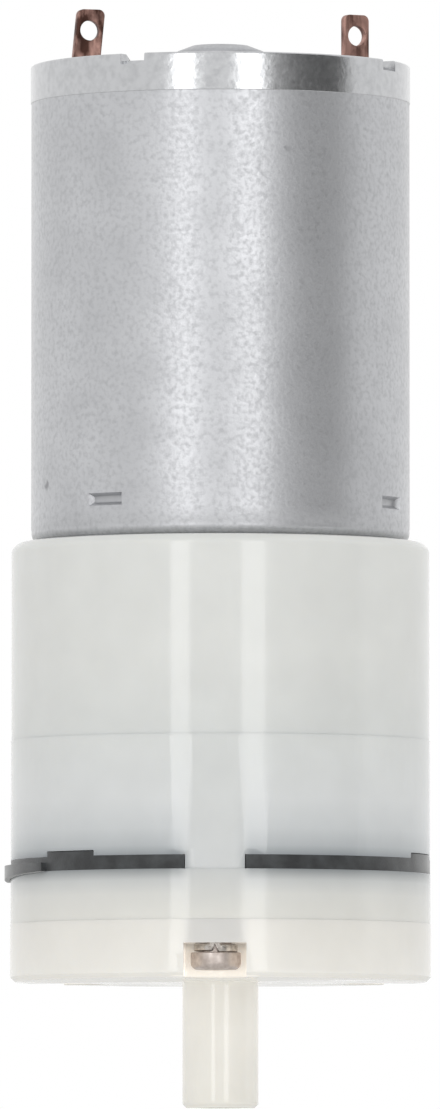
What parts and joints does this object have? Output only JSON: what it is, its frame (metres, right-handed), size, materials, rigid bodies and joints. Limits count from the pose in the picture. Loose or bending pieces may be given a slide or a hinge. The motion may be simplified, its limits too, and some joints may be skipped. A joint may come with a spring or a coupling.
{
  "type": "diaphragm pump",
  "caption": "Small motor-driven diaphragm air pump: steel can motor on a round clear head of stacked mouldings, with an outlet nozzle in the middle of the end cover.",
  "frame": {"origin": "middle of the motor can on the shaft axis, where a clamp holds it", "axes": "+Z along the shaft axis from the outlet nozzle to the terminals, -Y is the front that the picture shows, +X to the right"},
  "size_m": [0.0275, 0.0272, 0.0708],
  "materials": {
    "zinc_plated_can": "matt zinc-plated drawn steel",
    "zinc_plated_plate": "zinc-plated pressed steel",
    "nylon_holder": "moulded nylon",
    "spring_copper": "rolled copper alloy strip",
    "carbon": "pressed carbon",
    "spring_steel": "rolled spring steel",
    "tab_copper": "stamped copper alloy, slightly tarnished",
    "ferrite": "ground ferrite",
    "sintered_bronze": "oiled sintered bronze",
    "case_plastic": "moulded natural plastic, glossy",
    "seat_plastic": "moulded natural plastic, glossy",
    "valve_plate_plastic": "moulded natural plastic, glossy",
    "cover_plastic": "moulded natural plastic, glossy",
    "diaphragm_rubber": "moulded black rubber",
    "valve_rubber": "moulded soft rubber",
    "screw_steel": "zinc-plated steel",
    "screw_nickel": "dark nickel-plated steel",
    "washer_steel": "spring steel",
    "shaft_steel": "ground steel",
    "lamination_steel": "stamped silicon steel",
    "insulating_board": "pressed insulating fibre",
    "commutator_moulding": "moulded phenolic",
    "commutator_copper": "turned copper",
    "enamelled_wire": "wound enamelled copper wire",
    "spacer_brass": "drawn brass tube",
    "washer_nylon": "stamped nylon",
    "crank_plastic": "moulded acetal",
    "wobble_plastic": "moulded acetal"
  },
  "bodies": {
    "housing": {"motor_can": "zinc_plated_can", "end_plate": "zinc_plated_plate", "brush_holder": "nylon_holder", "brush_arm_positive": "spring_copper", "brush_arm_negative": "spring_copper", "carbon_brush_positive": "carbon", "carbon_brush_negative": "carbon", "magnet_clip": "spring_steel", "terminal_positive": "tab_copper", "terminal_negative": "tab_copper", "magnet_front": "ferrite", "magnet_rear": "ferrite", "front_bearing": "sintered_bronze", "rear_bearing": "sintered_bronze", "crank_case": "case_plastic", "motor_screws": "screw_steel", "cup_seat": "seat_plastic", "diaphragm": "diaphragm_rubber", "valve_plate": "valve_plate_plastic", "outlet_valve": "valve_rubber", "seal_ring": "valve_rubber", "nozzle_cover": "cover_plastic", "head_screws": "screw_nickel", "lock_washers": "washer_steel"},
    "rotor": {"rotor_shaft": "shaft_steel", "rotor_core": "lamination_steel", "insulator_front": "insulating_board", "insulator_rear": "insulating_board", "commutator_hub": "commutator_moulding", "commutator_bar_1": "commutator_copper", "commutator_bar_2": "commutator_copper", "commutator_bar_3": "commutator_copper", "rotor_coil_1": "enamelled_wire", "rotor_coil_2": "enamelled_wire", "rotor_coil_3": "enamelled_wire", "front_spacer": "spacer_brass", "thrust_washer": "washer_nylon", "crank_hub": "crank_plastic", "crank_pin": "shaft_steel"},
    "wobble": {"wobble_plate": "wobble_plastic"}
  },
  "joints": [
    {"name": "rotor_spin", "type": "hinge", "parent": "housing", "child": "rotor", "pos_m": [0, 0, 0], "axis": [0, 0, 1], "continuous": true},
    {"name": "wobble_spin", "type": "hinge", "parent": "rotor", "child": "wobble", "pos_m": [0, 0, -0.03005], "axis": [0.1219, 0, 0.9925], "continuous": true, "deforming": ["diaphragm"]}
  ],
  "couplings": [
    {"joint": "wobble_spin", "follows": "rotor_spin", "ratio": -1}
  ]
}
